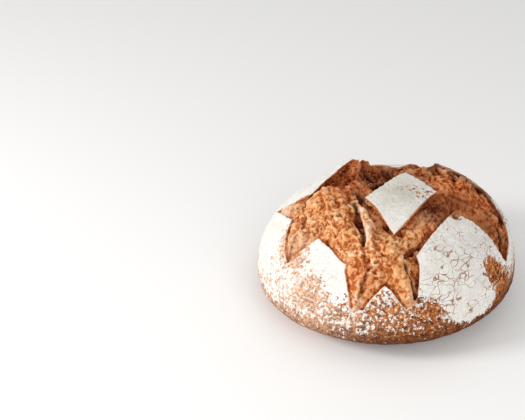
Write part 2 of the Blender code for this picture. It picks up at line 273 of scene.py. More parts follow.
# Plain stand-ins that tell skin from crumb until the crust gets its own material
MARKS = [bpy.data.materials.new(name) for name in ("under_skin", "under_crumb")]


def lip_on_skin(places):
    points = np.column_stack([places, dome_height(places)])
    normals = dome_normals(points)
    return points + normals * skin_lift(places)[:, None], normals


def trench(name, slash):
    inner, outer = [lip_on_skin(smooth_line(slash[lip])) for lip in ("inner", "outer")]
    across = outer[0] - inner[0]
    width = np.linalg.norm(across, axis=1)[:, None]
    sections = []
    for (points, normals), lean, way in zip((inner, outer), slash["undercut"], (-1, 1)):
        under = lean * TRENCH_DEPTH * np.minimum(width / FULL_LEAN_WIDTH, 1)
        low = points - normals * TRENCH_DEPTH + way * under * across / width
        sections.append((points + normals * TRENCH_RISE, points, low))
    (inner_top, inner_lip, inner_low), (outer_top, outer_lip, outer_low) = sections
    mesh = bmesh.new()
    rings = [
        [mesh.verts.new(p) for p in ring]
        for ring in zip(inner_top, outer_top, outer_lip, outer_low, inner_low, inner_lip)
    ]
    for ring, following in zip(rings, rings[1:]):
        for side, point in enumerate(ring):
            after = (side + 1) % len(ring)
            mesh.faces.new([point, ring[after], following[after], following[side]])
    mesh.faces.new(rings[0][::-1])
    mesh.faces.new(rings[-1])
    bmesh.ops.triangulate(mesh, faces=mesh.faces[:])
    bmesh.ops.recalc_face_normals(mesh, faces=mesh.faces[:])
    data = bpy.data.meshes.new(name)
    mesh.to_mesh(data)
    mesh.free()
    obj = bpy.data.objects.new(name, data)
    bpy.context.scene.collection.objects.link(obj)
    return obj


def mark_faces(obj, slot):
    for mark in MARKS:
        obj.data.materials.append(mark)
    obj.data.polygons.foreach_set("material_index", [slot] * len(obj.data.polygons))


def select_only(*chosen):
    """Selects these objects and nothing else, and makes the last one active."""
    for obj in bpy.context.selected_objects:
        obj.select_set(False)
    for obj in chosen:
        obj.select_set(True)
    bpy.context.view_layer.objects.active = chosen[-1]


def apply_modifier(obj, kind, **settings):
    select_only(obj)
    modifier = obj.modifiers.new(kind.lower(), kind)
    for key, value in settings.items():
        setattr(modifier, key, value)
    bpy.ops.object.modifier_apply(modifier=modifier.name)


def cut_away(obj, cutter):
    apply_modifier(obj, "BOOLEAN", operation="DIFFERENCE", solver="EXACT", object=cutter)
    bpy.data.objects.remove(cutter)


mark_faces(loaf, SKIN)
for name, slash in SLASHES.items():
    cutter = trench(name, slash)
    mark_faces(cutter, TORN)
    cut_away(loaf, cutter)


# The torn crumb, which swelled up through the slashes and set there.
# Stretched, blistered and cracked dough with no flour on it, browned by the oven.
# A second dome under the skin carries its slabs, rims, channels and cracks.
CRUMB_SINK = 0.0065
SKIN_LEFT = 0.0010
SWELLING = 0.0050
SWELLING_REACH = 0.007
STEEPEST_SWELLING = 0.8
LIFT_SHARE = 0.55
CORE_BASE = 0.006
RELIEF_FADE = 0.015
CRAG_SIZE = 0.012
CRAG_HEIGHT = 0.0030
RELIEF = {  # line in plan, height at the line, half width on its left and on its right
    "channel_under_ear": ([(-0.030, 0.031), (-0.046, 0.011), (-0.066, -0.012)], -0.0090, 0.0075, 0.0060),
    "slab_body": ([(-0.052, -0.012), (-0.040, -0.040), (-0.024, -0.072)], 0.0085, 0.0170, 0.0170),
    "slab_west_rim": ([(-0.036, 0.018), (-0.050, -0.001), (-0.068, -0.021)], 0.0045, 0.0100, 0.0020),
    "slab_east_rim": ([(-0.028, -0.012), (-0.019, -0.038), (-0.016, -0.064)], 0.0040, 0.0045, 0.0090),
    "gap_by_square": ([(-0.026, -0.008), (-0.017, -0.030), (-0.009, -0.044)], -0.0055, 0.0050, 0.0045),
    "slab_crack": ([(-0.034, -0.026), (-0.025, -0.052), (-0.020, -0.072)], -0.0035, 0.0042, 0.0042),
    "front_rise": ([(0.004, -0.068), (-0.004, -0.084), (-0.022, -0.096)], 0.0040, 0.0120, 0.0120),
    "front_right_rise": ([(0.008, -0.078), (0.016, -0.092), (0.020, -0.102)], 0.0040, 0.0090, 0.0080),
    "square_spur": ([(0.006, -0.056), (0.005, -0.074)], 0.0030, 0.0045, 0.0045),
    "east_crack": ([(0.037, -0.046), (0.028, -0.061), (0.018, -0.071)], -0.0030, 0.0045, 0.0045),
    "foot_crack": ([(0.019, -0.078), (0.024, -0.088), (0.0275, -0.101)], -0.0030, 0.0045, 0.0042),
    "hollow_behind_square": ([(-0.022, 0.026), (-0.002, 0.038), (0.022, 0.040)], -0.0070, 0.0080, 0.0080),
    "west_rise": ([(-0.056, -0.024), (-0.070, -0.050)], 0.0030, 0.0170, 0.0170),
    "north_east_slope": ([(0.050, 0.024), (0.074, 0.010), (0.094, -0.006)], 0.0040, 0.0120, 0.0120),
}
FILL_SPOTS = [  # where the crumb swelled right up to its lip: place in plan, radius, rise
    ((-0.085, -0.030), 0.013, 0.0040),
    ((-0.086, -0.052), 0.013, 0.0045),
    ((-0.021, -0.106), 0.009, 0.0040),
    ((0.024, -0.101), 0.009, 0.0040),
    ((0.038, 0.044), 0.010, 0.0080),
    ((0.050, 0.041), 0.010, 0.0050),
    ((0.064, 0.035), 0.011, 0.0060),
    ((0.080, 0.028), 0.010, 0.0050),
    ((0.094, 0.014), 0.010, 0.0040),
    ((-0.030, 0.038), 0.009, 0.0120),
    ((0.010, 0.048), 0.010, 0.0040),
    ((-0.010, 0.044), 0.008, 0.0030),
    ((-0.091, -0.001), 0.010, 0.0060),
    ((-0.081, -0.006), 0.009, 0.0040),
    ((-0.068, -0.060), 0.012, 0.0050),
]


def inside_outline(places, outline):
    inside = np.zeros(len(places), bool)
    for (ax, ay), (bx, by) in zip(outline, outline[1:] + outline[:1]):
        crosses = (places[:, 1] < ay) != (places[:, 1] < by)
        level = np.where(crosses, (places[:, 1] - ay) / (by - ay or 1), 0)
        inside ^= crosses & (places[:, 0] < ax + level * (bx - ax))
    return inside


def depth_inside_slashes(places):
    """Distance from the nearest lip for places between the two lips of a slash, and 0 under the skin."""
    deepest = np.zeros(len(places))
    for slash in SLASHES.values():
        inner, outer = [smooth_line(slash[lip]) for lip in ("inner", "outer")]
        depth = np.minimum(beside_line(places, inner)[0], beside_line(places, outer)[0])
        inside = inside_outline(places, [*inner, *outer[::-1]])
        deepest = np.maximum(deepest, np.where(inside, depth, 0))
    return deepest


def crumb_relief(places):
    height = np.zeros(len(places))
    for points, size, left, right in RELIEF.values():
        gap, side, _ = beside_line(places, smooth_line(points))
        width = np.where(side > 0, left, right)
        height += size * np.exp(-((gap / width) ** 2))
    for place, radius, rise in FILL_SPOTS:
        height += rise * np.exp(-((np.linalg.norm(places - place, axis=1) / radius) ** 2))
    return height


def crumb_offset(points):
    """The crumb lies under the skin, and swells up with relief and crags between the lips."""
    places = points[:, :2]
    upper = np.clip((points[:, 2] - WIDEST_LEVEL) / RELIEF_FADE, 0, 1)
    lift = skin_lift(places)
    depth = depth_inside_slashes(places)
    swelling = SWELLING * (1 - np.exp(-depth / SWELLING_REACH))
    crags = np.array([noise.turbulence(Vector(p), 3, True) for p in (points / CRAG_SIZE)]) - 0.5
    relief = LIFT_SHARE * lift + swelling + crumb_relief(places) + CRAG_HEIGHT * crags
    room = CRUMB_SINK + lift - SKIN_LEFT + STEEPEST_SWELLING * depth
    return -CRUMB_SINK + upper * np.minimum(relief, room)


crumb = blown_cube("torn_crumb", (90, 1), crumb_offset, CORE_BASE)
mark_faces(crumb, TORN)


# The fine relief of the crust: shreds, pits and cracks on the crumb, ragged lips, blisters on the skin.
# Skin and crumb are fused on an even mesh finer than a shred, which is thinned at the end.
SHRED_MESH = 0.0008
MOST_TRIANGLES = 195000
WARP_SIZE = 0.013
WARP_REACH = 0.0045
SHRED_SIZE = 0.0066
PULL_FRONT = (0.35, -0.94, -0.2)
PULL_BACK = (0.80, -0.50, -0.2)
TURN_WIDTH = 0.012
SHRED_HEIGHT = 0.0024
CRINKLE_SIZE = 0.0036
CRINKLE_HEIGHT = 0.0018
PIT_SPACING = 0.0075
PIT_DEPTH = 0.0030
SMALLEST_PIT = 0.12
PIT_SPREAD = 0.25
UNPITTED = 0.4
MEAN_ROUGHNESS = 0.55
LEAST_ROUGHNESS = 0.08
ROUGH_FROM_LIP = 0.0045
TORN_FADE = 0.0012
BLISTER_SIZE = 0.0060
BLISTER_HEIGHT = 0.00040
RAGGED_SIZE = 0.0032
RAGGED_REACH = 0.0007
LIP_REACH = 0.0020
LIP_STEP = 0.0004
BASE_FADE = 0.006
WAVER_SIZE = 0.006
WAVER_REACH = 0.0016
CREASES = {  # line in plan, height at the line, half width
    "slab_crack": ([(-0.029, -0.022), (-0.025, -0.046), (-0.021, -0.062), (-0.019, -0.071)],
                   -0.0065, 0.0019),
    "rope_by_square": ([(-0.029, -0.012), (-0.0215, -0.031), (-0.0160, -0.047), (-0.0155, -0.060),
                        (-0.0125, -0.073), (-0.003, -0.083)], 0.0022, 0.0027),
    "east_crack": ([(0.030, -0.055), (0.0235, -0.062), (0.0185, -0.068), (0.0150, -0.0745)],
                   -0.0036, 0.0013),
    "foot_crack": ([(0.0165, -0.079), (0.019, -0.086), (0.0233, -0.091), (0.0262, -0.099)],
                   -0.0045, 0.0014),
    "gap_at_square": ([(-0.0285, -0.004), (-0.0245, -0.017), (-0.0205, -0.027)], -0.0080, 0.0024),
    "fold_under_ear": ([(-0.061, -0.010), (-0.048, 0.007), (-0.037, 0.025)], -0.0050, 0.0024),
    "crest_of_slab": ([(-0.068, -0.022), (-0.061, -0.014), (-0.050, 0.001), (-0.038, 0.018)],
                      0.0034, 0.0017),
    "gap_behind_square": ([(0.008, 0.033), (-0.004, 0.021), (-0.014, 0.010)], -0.0070, 0.0028),
    "tongue_slit": ([(-0.079, -0.012), (-0.066, -0.016)], -0.0030, 0.0014),
    "tongue_fold": ([(-0.091, -0.004), (-0.083, -0.005)], -0.0018, 0.0012),
    "west_slit": ([(-0.071, -0.034), (-0.071, -0.045)], -0.0028, 0.0015),
    "west_foot_slit": ([(-0.077, -0.053), (-0.080, -0.062)], -0.0026, 0.0015),
    "front_left_fold": ([(-0.018, -0.080), (-0.015, -0.092), (-0.018, -0.101)], -0.0015, 0.0015),
    "front_left_corner": ([(-0.012, -0.090), (-0.016, -0.100), (-0.020, -0.106)], -0.0020, 0.0012),
    "east_slot": ([(0.095, -0.006), (0.0995, -0.018), (0.1005, -0.027)], -0.0045, 0.0020),
    "ear_hole": ([(0.074, 0.031), (0.078, 0.028)], -0.0060, 0.0022),
    "ear_cleft": ([(0.052, 0.036), (0.058, 0.030)], -0.0035, 0.0018),
    "ear_top_cleft": ([(0.040, 0.040), (0.046, 0.034)], -0.0030, 0.0016),
    "back_cleft": ([(-0.022, 0.034), (-0.010, 0.026)], -0.0050, 0.0022),
    "back_far_cleft": ([(-0.006, 0.042), (0.010, 0.040)], -0.0045, 0.0020),
}
ROUGH_SPOTS = [  # middle, radius, how much rougher than the mean
    ((-0.036, -0.040, 0.092), 0.024, 0.40),
    ((-0.016, 0.032, 0.100), 0.022, 1.60),
    ((0.020, 0.042, 0.098), 0.016, 0.90),
    ((0.048, 0.040, 0.097), 0.015, 1.50),
    ((0.070, 0.030, 0.090), 0.015, 1.30),
    ((0.092, 0.012, 0.075), 0.012, 0.90),
    ((-0.014, -0.088, 0.076), 0.016, 0.40),
    ((0.010, -0.064, 0.087), 0.014, 0.35),
    ((-0.070, -0.046, 0.078), 0.020, 0.35),
    ((-0.048, 0.010, 0.092), 0.011, -0.35),
    ((-0.058, -0.020, 0.089), 0.010, -0.25),
    ((0.034, -0.028, 0.093), 0.016, -0.50),
    ((-0.014, -0.036, 0.094), 0.009, -0.45),
    ((0.012, -0.092, 0.074), 0.011, -0.30),
    ((0.060, 0.000, 0.088), 0.016, -0.45),
    ((0.084, -0.014, 0.076), 0.013, -0.40),
    ((0.019, -0.098, 0.064), 0.012, -0.25),
    ((-0.019, -0.100, 0.064), 0.012, -0.25),
]

surface = bmesh.new()
surface.from_mesh(loaf.data)
lip_points = []
for edge in surface.edges:
    if len({face.material_index for face in edge.link_faces}) == 2:
        start, end = [vertex.co for vertex in edge.verts]
        steps = max(1, math.ceil((end - start).length / LIP_STEP))
        lip_points += [start.lerp(end, (step + 0.5) / steps) for step in range(steps)]
surface.free()
lip_tree = kdtree.KDTree(len(lip_points))
for index, point in enumerate(lip_points):
    lip_tree.insert(point, index)
lip_tree.balance()
select_only(crumb, loaf)
bpy.ops.object.join()
surface = bmesh.new()
surface.from_mesh(loaf.data)
bmesh.ops.triangulate(surface, faces=surface.faces[:])
surface.faces.ensure_lookup_table()
finder = BVHTree.FromBMesh(surface)
slots = np.array([face.material_index for face in surface.faces])
surface.free()


def lip_distance(points):
    """Distance in metres to the nearest lip: positive on the floured skin, negative on the crumb."""
    distance = np.array([lip_tree.find(Vector(p))[2] for p in points])
    nearest = [finder.find_nearest(Vector(p))[2] for p in points]
    return np.where(slots[nearest] == SKIN, distance, -distance)


def vertex_normals(obj):
    normals = np.empty(len(obj.data.vertices) * 3)
    obj.data.vertex_normals.foreach_get("vector", normals)
    return normals.reshape(-1, 3)


def vector_noise(points, size, seed):
    return np.stack([noise_at(points, size, seed + step) for step in (0.0, 4.3, 8.9)], axis=1)


def spots_at(points, spots):
    """Sum of soft round spots, each with its centre, radius and strength."""
    total = np.zeros(len(points))
    for centre, radius, strength in spots:
        gap = np.linalg.norm(points - np.array(centre), axis=1)
        total += strength * np.exp(-((gap / radius) ** 2))
    return total


def creases_at(points):
    """Height of the cracks and crests, along lines that waver."""
    places = points[:, :2] + WAVER_REACH * vector_noise(points, WAVER_SIZE, 21.0)[:, :2]
    height = np.zeros(len(points))
    for line, size, width in CREASES.values():
        gap, _, _ = beside_line(places, smooth_line(line))
        height += size * np.exp(-((gap / width) ** 2))
    return height


def shred_noise(points, pull):
    """Torn shreds, twice as long along the way the dough was pulled as across it."""
    pull = np.array(pull) / np.linalg.norm(pull)
    points = (points - 0.5 * (points @ pull)[:, None] * pull) / SHRED_SIZE
    return np.array([noise.hybrid_multi_fractal(Vector(p), 0.8, 2.1, 4, 0.7, 1.0) for p in points])


def drop_bubbles(obj):
    """Keeps the largest piece of the mesh, and deletes the bubbles that fusing left inside it."""
    surface = bmesh.new()
    surface.from_mesh(obj.data)
    unseen = set(surface.verts)
    pieces = []
    while unseen:
        waiting = [unseen.pop()]
        pieces.append(list(waiting))
        while waiting:
            vertex = waiting.pop()
            fresh = [other for edge in vertex.link_edges if (other := edge.other_vert(vertex)) in unseen]
            unseen.difference_update(fresh)
            waiting += fresh
            pieces[-1] += fresh
    pieces.sort(key=len)
    bubbles = [vertex for piece in pieces[:-1] for vertex in piece]
    bmesh.ops.delete(surface, geom=bubbles, context="VERTS")
    surface.to_mesh(obj.data)
    surface.free()


apply_modifier(loaf, "REMESH", mode="VOXEL", voxel_size=SHRED_MESH, adaptivity=0)
points = get_points(loaf)
normals = vertex_normals(loaf)
lip = lip_distance(points)
torn = np.clip(-lip / TORN_FADE, 0, 1)
inner = torn > 0
height = (1 - torn) * BLISTER_HEIGHT * noise_at(points, BLISTER_SIZE, 3.0)
at = points[inner]
warped = at + WARP_REACH * vector_noise(at, WARP_SIZE, 11.0)
roughness = np.clip(MEAN_ROUGHNESS + spots_at(at, ROUGH_SPOTS), LEAST_ROUGHNESS, 2.0)
roughness *= np.clip(-lip[inner] / ROUGH_FROM_LIP, 0.3, 1)
turned = 1 / (1 + np.exp(-(at[:, 0] + at[:, 1]) / TURN_WIDTH))
shreds = (1 - turned) * shred_noise(warped, PULL_FRONT) + turned * shred_noise(warped, PULL_BACK)
crinkles = np.array([noise.turbulence(Vector(p), 3, True) for p in (warped / CRINKLE_SIZE)])
cells = [noise.voronoi(Vector(p)) for p in (warped / PIT_SPACING)]
nearness = np.array([cell[0][0] for cell in cells])
chance = np.array([noise.cell(cell[1][0] * 3.7) for cell in cells])
pits = np.clip(1 - nearness / (SMALLEST_PIT + PIT_SPREAD * chance), 0, 1) ** 0.7 * (chance > UNPITTED)
relief = SHRED_HEIGHT * (shreds - shreds.mean()) - CRINKLE_HEIGHT * (crinkles - crinkles.mean())
height[inner] += torn[inner] * (roughness * (relief - PIT_DEPTH * pits) + creases_at(at))
at_lip = np.exp(-((lip / LIP_REACH) ** 2))[:, None]
above_base = np.clip(points[:, 2] / BASE_FADE, 0, 1)[:, None]
ragged = RAGGED_REACH * vector_noise(points, RAGGED_SIZE, 5.0) * at_lip
points = points + above_base * (normals * height[:, None] + ragged)
points = np.clip(points, *np.array(cad_box))
set_points(loaf, points)
loaf.data.calc_loop_triangles()
apply_modifier(loaf, "DECIMATE", ratio=min(1, MOST_TRIANGLES / len(loaf.data.loop_triangles)))
drop_bubbles(loaf)
bpy.ops.object.shade_smooth()


# Where the flour lies, where the oven reached and where shade and highlights are painted, as numbers the
# crust's material reads.
# Flour came off the basket onto the left, the crown and the right plate, and wore off round the belly.
# In each list of spots, a spot has its middle, its radius and what it adds.
FLOUR_EDGE = [  # plan angle in degrees, height and softness of the edge in mm, share below, share above
    (-180, 52, 10, 0.52, 0.88), (-150, 55, 10, 0.52, 0.86), (-125, 55, 8, 0.47, 0.90),
    (-108, 58, 5, 0.45, 0.92), (-98, 66, 3, 0.44, 0.97), (-80, 67, 3, 0.44, 0.97),
    (-74, 64, 3, 0.40, 1.0), (-66, 57, 3, 0.36, 1.0), (-62, 47, 3, 0.38, 1.0),
    (-58, 35, 3, 0.36, 1.0), (-50, 27, 3, 0.34, 1.0), (-42, 25, 3, 0.31, 0.97),
    (-34, 31, 4, 0.28, 0.93), (-26, 44, 4, 0.26, 0.85), (-18, 42, 5, 0.28, 0.8),
    (0, 46, 5, 0.31, 0.8), (40, 42, 6, 0.32, 0.92), (65, 52, 5, 0.38, 0.92),
    (90, 42, 6, 0.38, 0.88), (115, 54, 6, 0.44, 0.90), (140, 46, 8, 0.47, 0.92),
    (180, 52, 10, 0.52, 0.88),
]
FOOT_TOP = 0.034
FOOT_FADE = 0.016
FOOT_WEAR = 0.20
PALE_EDGE = -0.036
PALE_FADE = 0.016
FILM_RIGHT = 0.02
FILM_GAIN_LEFT = 0.58
LIP_BLUR = 0.0010
SMOOTHING_ROUNDS = 20
MOST_TOAST = 0.8
# How deep a crease sinks before its painted shade is darkest
CREASE_DEPTH_AT_FULL_SHADE = 0.004
FLOUR_SPOTS = [
    ((0.088, -0.049, 0.060), 0.011, -0.55),
    ((0.092, -0.056, 0.050), 0.010, -0.30),
    ((0.097, -0.043, 0.046), 0.012, -0.45),
    ((0.056, -0.018, 0.090), 0.006, -0.80),
    ((0.018, -0.010, 0.100), 0.030, -0.25),
    ((0.075, -0.060, 0.060), 0.012, -0.10),
    ((-0.060, -0.088, 0.056), 0.018, -0.30),
    ((-0.078, -0.068, 0.066), 0.014, -0.25),
    ((-0.077, -0.050, 0.074), 0.018, -0.60),
    ((0.012, 0.098, 0.054), 0.013, -0.40),
    ((0.045, 0.049, 0.103), 0.010, -0.60),
    ((0.064, 0.041, 0.097), 0.012, -0.60),
    ((0.085, 0.032, 0.086), 0.012, -0.60),
    ((0.101, 0.014, 0.073), 0.010, -0.45),
    ((-0.090, 0.046, 0.058), 0.012, -0.25),
    ((0.070, 0.070, 0.060), 0.012, -0.15),
]
FILM_SPOTS = [
    ((-0.084, -0.012, 0.078), 0.016, 0.65),
    ((-0.072, -0.045, 0.079), 0.020, 0.28),
    ((-0.078, -0.058, 0.070), 0.012, 0.18),
    ((-0.056, -0.040, 0.087), 0.014, 0.22),
    ((-0.034, -0.082, 0.078), 0.008, 0.45),
    ((-0.006, -0.088, 0.075), 0.008, 0.25),
    ((0.028, -0.030, 0.093), 0.013, 0.58),
    ((-0.012, 0.024, 0.099), 0.008, 0.30),
    ((-0.042, -0.060, 0.086), 0.012, 0.25),
    ((-0.009, -0.041, 0.094), 0.012, 0.62),
    ((-0.018, -0.026, 0.094), 0.009, 0.45),
]
# Oven burn, and painted shade in the channel under the north-west ear, the gap at the square's left corner
# and the slope south-east of the square
BURN_AND_SHADE_SPOTS = [
    ((-0.018, 0.026, 0.100), 0.020, 0.85),
    ((0.004, 0.038, 0.099), 0.014, 0.85),
    ((0.030, 0.034, 0.100), 0.013, 0.60),
    ((-0.026, -0.008, 0.096), 0.008, 1.00),
    ((0.038, 0.048, 0.104), 0.010, 0.80),
    ((0.062, 0.038, 0.098), 0.009, 0.90),
    ((0.082, 0.029, 0.086), 0.009, 0.90),
    ((0.097, 0.013, 0.074), 0.010, 0.80),
    ((0.102, -0.012, 0.064), 0.009, 0.45),
    ((0.060, 0.004, 0.089), 0.016, 0.60),
    ((0.084, -0.010, 0.078), 0.015, 0.60),
    ((0.098, -0.018, 0.064), 0.010, 0.30),
    ((-0.046, 0.012, 0.091), 0.011, 0.85),
    ((-0.059, -0.006, 0.088), 0.009, 0.75),
    ((0.038, -0.016, 0.092), 0.017, 0.85),
]
TOAST_SPOTS = [
    ((-0.020, 0.032, 0.098), 0.040, 0.65),
    ((0.062, 0.032, 0.094), 0.040, 0.50),
    ((0.092, 0.000, 0.076), 0.028, 0.40),
    ((-0.050, 0.006, 0.092), 0.022, 0.60),
    ((0.040, -0.014, 0.092), 0.022, 0.40),
    ((-0.017, -0.094, 0.070), 0.011, 0.40),
]
CRACKLE_SPOTS = [
    ((0.058, -0.080, 0.060), 0.034, 1.3),
    ((0.070, -0.045, 0.074), 0.026, 0.55),
    ((-0.050, -0.094, 0.058), 0.016, 0.5),
    ((0.040, 0.086, 0.062), 0.028, 0.9),
    ((-0.066, 0.066, 0.068), 0.026, 0.7),
]
SOFT_SPOTS = [
    ((-0.071, -0.064, 0.071), 0.013, 1.0),
    ((-0.093, -0.004, 0.075), 0.012, 0.9),
    ((-0.021, -0.108, 0.053), 0.006, 0.8),
    ((0.024, -0.104, 0.056), 0.006, 0.8),
]
# Thinner, dimmer flour on the square and the right plate, which is partly painted shade
DIM_FLOUR_AND_SHADE_SPOTS = [
    ((0.009, -0.006, 0.100), 0.026, -0.90),
    ((0.060, -0.050, 0.075), 0.035, -0.12),
]

points = get_points(loaf)
normals = vertex_normals(loaf)
lip = lip_distance(points)
torn = np.clip(0.5 - lip / LIP_BLUR, 0, 1)

# How far each place stands out from the mean of its surroundings: ridges against crevices, which the
# crumb's colour uses for painted shade and painted highlights
edges = np.empty(len(loaf.data.edges) * 2, np.int32)
loaf.data.edges.foreach_get("vertices", edges)
edges = edges.reshape(-1, 2)
around = np.bincount(edges.ravel(), minlength=len(points))[:, None]
smoothed = points.copy()
for _ in range(SMOOTHING_ROUNDS):
    total = np.stack([
        np.bincount(edges[:, 0], smoothed[edges[:, 1], axis], len(points))
        + np.bincount(edges[:, 1], smoothed[edges[:, 0], axis], len(points))
        for axis in range(3)
    ], axis=1)
    smoothed = 0.5 * smoothed + 0.5 * total / around
proud = np.einsum("ij,ij->i", points - smoothed, normals)

angle = np.degrees(np.arctan2(points[:, 1], points[:, 0]))
turns, levels, softness, below, top = np.array(FLOUR_EDGE).T
level = np.interp(angle, turns, levels)
share_below = np.interp(angle, turns, below)
share_above = np.interp(angle, turns, top)
above = 1 / (1 + np.exp(-(points[:, 2] * 1000 - level) / np.interp(angle, turns, softness)))
flour = share_below + (share_above - share_below) * above + spots_at(points, FLOUR_SPOTS)
flour -= FOOT_WEAR * np.clip((FOOT_TOP - points[:, 2]) / FOOT_FADE, 0, 1)
paleness = 1 / (1 + np.exp((points[:, 0] - PALE_EDGE) / PALE_FADE))
film = np.where(torn > 0.5, spots_at(points, FILM_SPOTS), FILM_RIGHT + FILM_GAIN_LEFT * paleness)
crust_shares = {
    "torn": torn,
    "lip_mm": lip * 1000,
    "flour": np.clip(flour, 0, 1),
    "film": np.clip(film, 0, 1),
    "burn_and_shade": np.clip(spots_at(points, BURN_AND_SHADE_SPOTS), 0, 1),
    "toast": np.clip(spots_at(points, TOAST_SPOTS), 0, MOST_TOAST),
    "dense_unshaded_flour": np.clip(1 + spots_at(points, DIM_FLOUR_AND_SHADE_SPOTS), 0, 1),
    "crackle": np.clip(spots_at(points, CRACKLE_SPOTS), 0, 1),
    "rough": np.clip(MEAN_ROUGHNESS + spots_at(points, ROUGH_SPOTS), LEAST_ROUGHNESS, 1.3),
    "crease_shade": np.clip(-creases_at(points) / CREASE_DEPTH_AT_FULL_SHADE, 0, 1),
    "soft_lip": np.clip(spots_at(points, SOFT_SPOTS), 0, 1),
    "proud_mm": proud * 1000,
}
for name, values in crust_shares.items():
    attribute = loaf.data.attributes.new(name, "FLOAT", "POINT")
    attribute.data.foreach_set("value", np.asarray(values, np.float32))


# The crust's material: wheat crust, browned by the oven, with rye flour rubbed and baked onto its skin.
# Flour is chalky white with no shine. Bare crust is matt brown, paler on the left and dark at the base.
# Torn crumb is mottled brown and gold, with painted shade in its pits and cracks, painted highlights on
# its ridges, and a faint sheen.
GRAIN_MM = 4.6
FINE_GRAIN_MM = 2.0
PATCH_MM = 15.0
SPECK_MM = 3.2
NET_MM = 8.7
NET_BEND_MM = 9.0
NET_BEND_REACH = 0.010
BROKEN_NET_MM = 14.0
WISP_MM = 2.3
STREAK_MM = 2.6
BUMP_HEIGHT = 0.0015
BUMP_FILTER = 0.1
# Settings that many of the nodes share: a smooth step, a mix of two colours, and one darkened by the other
SMOOTH = {"interpolation_type": "SMOOTHSTEP"}
TINT = {"data_type": "RGBA"}
SHADE = {"data_type": "RGBA", "blend_type": "MULTIPLY"}


def colour(hex_code):
    """sRGB hex to the linear values that a shader takes."""
    channels = [int(hex_code[i:i + 2], 16) / 255 for i in (1, 3, 5)]
    return (*[c / 12.92 if c <= 0.04045 else ((c + 0.055) / 1.055) ** 2.4 for c in channels], 1)


crust = bpy.data.materials.new("floured_wheat_crust")
crust.use_nodes = True
tree = crust.node_tree
shader = tree.nodes["Principled BSDF"]


def node(kind, *values, out=None, **settings):
    """Adds a node with its settings, fills or links its open inputs in turn, and gives one output."""
    made = tree.nodes.new("ShaderNode" + kind)
    for key, value in settings.items():
        setattr(made, key, value)
    for socket, value in zip([socket for socket in made.inputs if socket.enabled], values):
        if isinstance(value, bpy.types.NodeSocket):
            tree.links.new(value, socket)
        else:
            socket.default_value = value
    return next(socket for socket in made.outputs if socket.enabled and out in (None, socket.name))


share = {name: node("Attribute", out="Fac", attribute_name=name) for name in crust_shares}
where = node("TexCoord", out="Object")
above_stone = node("SeparateXYZ", where, out="Z")
grain = node("TexNoise", where, 1000 / GRAIN_MM, 5.0, 0.66)
patches = node("TexNoise", where, 1000 / PATCH_MM, 4.0, 0.6)
fine_grain = node("TexNoise", where, 1000 / FINE_GRAIN_MM, 3.0, 0.6)

# Bare crust of the skin: dark and light lumps, brown patches, and then dark and light flecks
bare = colour("#481403")
for pattern, low, high, most, tone in (
    (grain, 0.41, 0.59, 1.0, "#D07A32"),
    (patches, 0.40, 0.65, 0.35, "#9C5020"),
    (fine_grain, 0.45, 0.38, 0.60, "#4E1A05"),
    (fine_grain, 0.54, 0.64, 0.60, "#EDAE7A"),
):
    amount = node("MapRange", pattern, low, high, 0.0, most, **SMOOTH)
    bare = node("Mix", amount, bare, colour(tone), **TINT)

# It is darker towards the base, except where a film of flour kept it pale
darker_toward_base = node("MapRange", above_stone, 0.046, 0.013, 0.0, 0.90, **SMOOTH)
unfilmed = node("MapRange", share["film"], 0.1, 0.6, 1.0, 0.50, **SMOOTH)
darker_toward_base = node("Math", darker_toward_base, unfilmed, operation="MULTIPLY")
bare = node("Mix", darker_toward_base, bare, colour("#4A1A04"), **TINT)

# Flour, dense and bright, but thinner and dimmer on the square and the right plate, partly as painted
# shade, with grey in its grain
whites = []
for dim, bright, low, high, grey, most in (
    ("#CCC6B8", "#D9D4C8", 0.30, 0.70, "#A89C88", 0.45),
    ("#EDEAE3", "#F6F4EF", 0.38, 0.62, "#C6BDAD", 0.28),
):
    white = node("MapRange", patches, low, high, **SMOOTH)
    white = node("Mix", white, colour(dim), colour(bright), **TINT)
    greyed = node("MapRange", fine_grain, 0.42, 0.60, 0.0, most, **SMOOTH)
    whites.append(node("Mix", greyed, white, colour(grey), **TINT))
white = node("Mix", share["dense_unshaded_flour"], *whites, **TINT)

# A film of it tints the crust, and its cover breaks up into specks where it is thin
speck = node("TexNoise", where, 1000 / SPECK_MM, 4.0, 0.72)
speck = node("Math", speck, 0.76, operation="MULTIPLY")
speck = node("Math", speck, node("Math", patches, 0.24, operation="MULTIPLY"), operation="ADD")
level = node("Math", share["flour"], 0.5, operation="SUBTRACT")
level = node("Math", level, 0.5, operation="MULTIPLY")
level = node("Math", level, 0.5, operation="ADD")
cover = node("Math", level, speck, operation="SUBTRACT")
cover = node("MapRange", cover, -0.018, 0.018, **SMOOTH)
grainy = node("MapRange", fine_grain, 0.38, 0.60, 0.50, 1.35, **SMOOTH)
film = node("Math", share["film"], grainy, operation="MULTIPLY")
worn = node("MapRange", above_stone, 0.014, 0.042, 0.40, 1.0, **SMOOTH)
film = node("Math", film, worn, operation="MULTIPLY")
skin_colour = node("Mix", film, bare, colour("#F1D0B4"), **TINT)
skin_colour = node("Mix", cover, skin_colour, white, **TINT)

